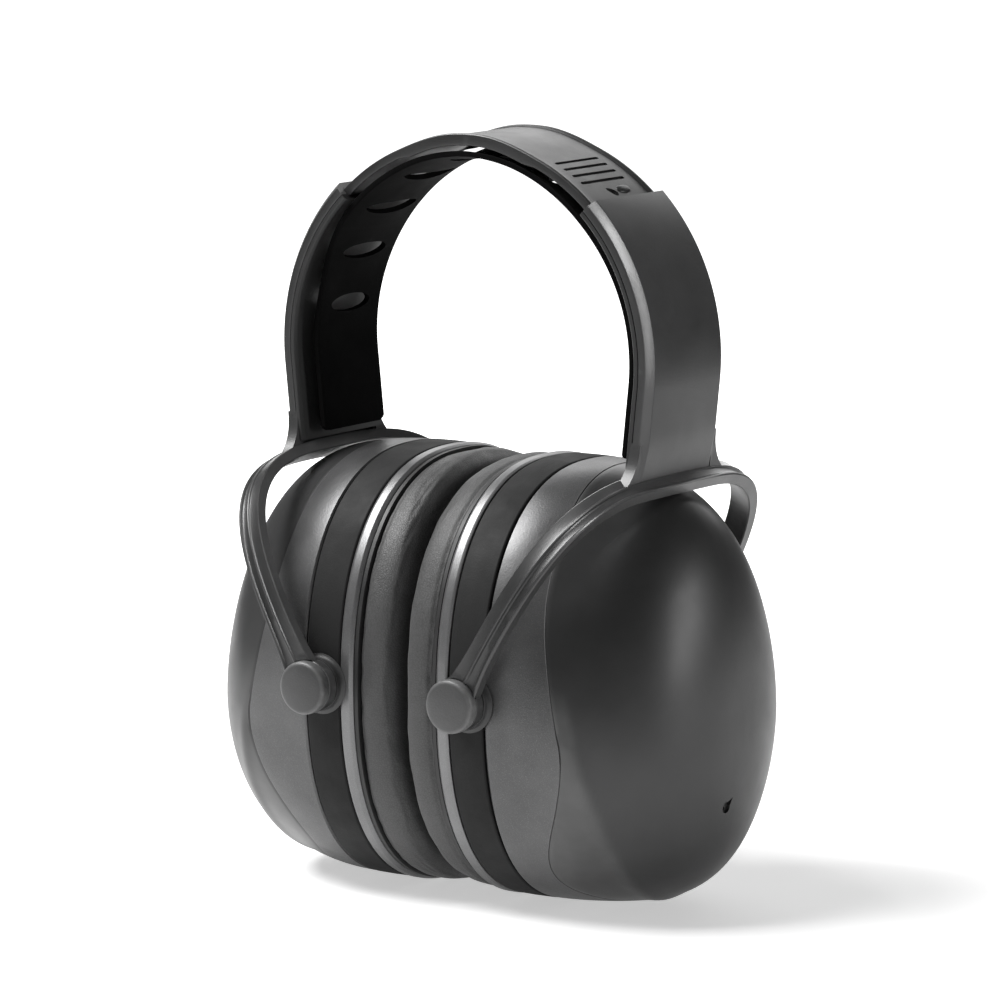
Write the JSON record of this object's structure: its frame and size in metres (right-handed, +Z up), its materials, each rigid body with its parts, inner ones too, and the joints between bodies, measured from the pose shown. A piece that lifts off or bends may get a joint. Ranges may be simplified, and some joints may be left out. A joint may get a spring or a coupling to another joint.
{
  "type": "earmuff hearing protector",
  "caption": "Over-the-head earmuff hearing protector: spring headband, sliding fork arms, and deep oval cups with soft ear cushions that tilt on side pivots.",
  "frame": {"origin": "midway between the two cups' pivot axes, on both planes of symmetry, at the height of the pivots", "axes": "+Z up towards the crown of the headband, +X towards the right-hand cup as seen from the front, -Y is the front; the pivot axes run along Y"},
  "size_m": [0.1392, 0.1106, 0.1882],
  "materials": {
    "bow_plastic": "satin moulded plastic, dark grey-black",
    "liner_black": "matte soft moulded strip, black",
    "arm_plastic": "satin fine-grained plastic with brighter bevels",
    "dark_plastic": "matte black plastic",
    "button_grey": "grey fine-grained plastic, slightly polished rim",
    "shell_grey": "metallic grey, fine-grained",
    "cover_black": "smooth satin black to dark grey",
    "rim_rubber": "flat matte black",
    "flange_silver": "metallic silver-grey",
    "foam_grey": "open-cell foam, dark grey",
    "cushion_leather": "soft leatherette, fine grain, dark grey",
    "foam_cream": "open-cell foam, cream, hidden"
  },
  "bodies": {
    "headband": {"headband_bow": "bow_plastic", "headband_liner": "liner_black"},
    "left_bow_end": {"left_stop_clip": "dark_plastic"},
    "left_arm": {"left_yoke": "arm_plastic", "left_arm_inner_cover": "dark_plastic", "left_front_pivot_button": "button_grey", "left_rear_pivot_button": "button_grey"},
    "left_cup": {"left_cup_shell": "shell_grey", "left_outer_cover": "cover_black", "left_rim_band": "rim_rubber", "left_base_plate": "flange_silver", "left_cushion_carrier": "dark_plastic", "left_acoustic_foam": "foam_grey", "left_cushion_skin": "cushion_leather", "left_cushion_foam": "foam_cream"},
    "right_bow_end": {"right_stop_clip": "dark_plastic"},
    "right_arm": {"right_yoke": "arm_plastic", "right_arm_inner_cover": "dark_plastic", "right_front_pivot_button": "button_grey", "right_rear_pivot_button": "button_grey"},
    "right_cup": {"right_cup_shell": "shell_grey", "right_outer_cover": "cover_black", "right_rim_band": "rim_rubber", "right_base_plate": "flange_silver", "right_cushion_carrier": "dark_plastic", "right_acoustic_foam": "foam_grey", "right_cushion_skin": "cushion_leather", "right_cushion_foam": "foam_cream"}
  },
  "joints": [
    {"name": "left_band_spread", "type": "hinge", "parent": "headband", "child": "left_bow_end", "pos_m": [-0.026, 0, 0.126], "axis": [0, 1, 0], "range_deg": [0, 32], "stiffness_Nm_per_rad": 2.6, "deforming": ["headband_bow", "headband_liner"]},
    {"name": "left_size_adjust", "type": "hinge", "parent": "left_bow_end", "child": "left_arm", "pos_m": [0, 0, 0.0797], "axis": [0, 1, 0], "range_deg": [0, 20], "stiffness_Nm_per_rad": 0.6, "deforming": ["headband_liner"]},
    {"name": "left_cup_tilt", "type": "hinge", "parent": "left_arm", "child": "left_cup", "pos_m": [-0.0217, 0, 0], "axis": [0, -1, 0], "range_deg": [-10, 10], "stiffness_Nm_per_rad": 0.05, "deforming": ["left_cushion_skin", "left_cushion_foam"]},
    {"name": "right_band_spread", "type": "hinge", "parent": "headband", "child": "right_bow_end", "pos_m": [0.026, 0, 0.126], "axis": [0, -1, 0], "range_deg": [0, 32], "stiffness_Nm_per_rad": 2.6, "deforming": ["headband_bow", "headband_liner"]},
    {"name": "right_size_adjust", "type": "hinge", "parent": "right_bow_end", "child": "right_arm", "pos_m": [0, 0, 0.0797], "axis": [0, -1, 0], "range_deg": [0, 20], "stiffness_Nm_per_rad": 0.6, "deforming": ["headband_liner"]},
    {"name": "right_cup_tilt", "type": "hinge", "parent": "right_arm", "child": "right_cup", "pos_m": [0.0217, 0, 0], "axis": [0, 1, 0], "range_deg": [-10, 10], "stiffness_Nm_per_rad": 0.05, "deforming": ["right_cushion_skin", "right_cushion_foam"]}
  ]
}
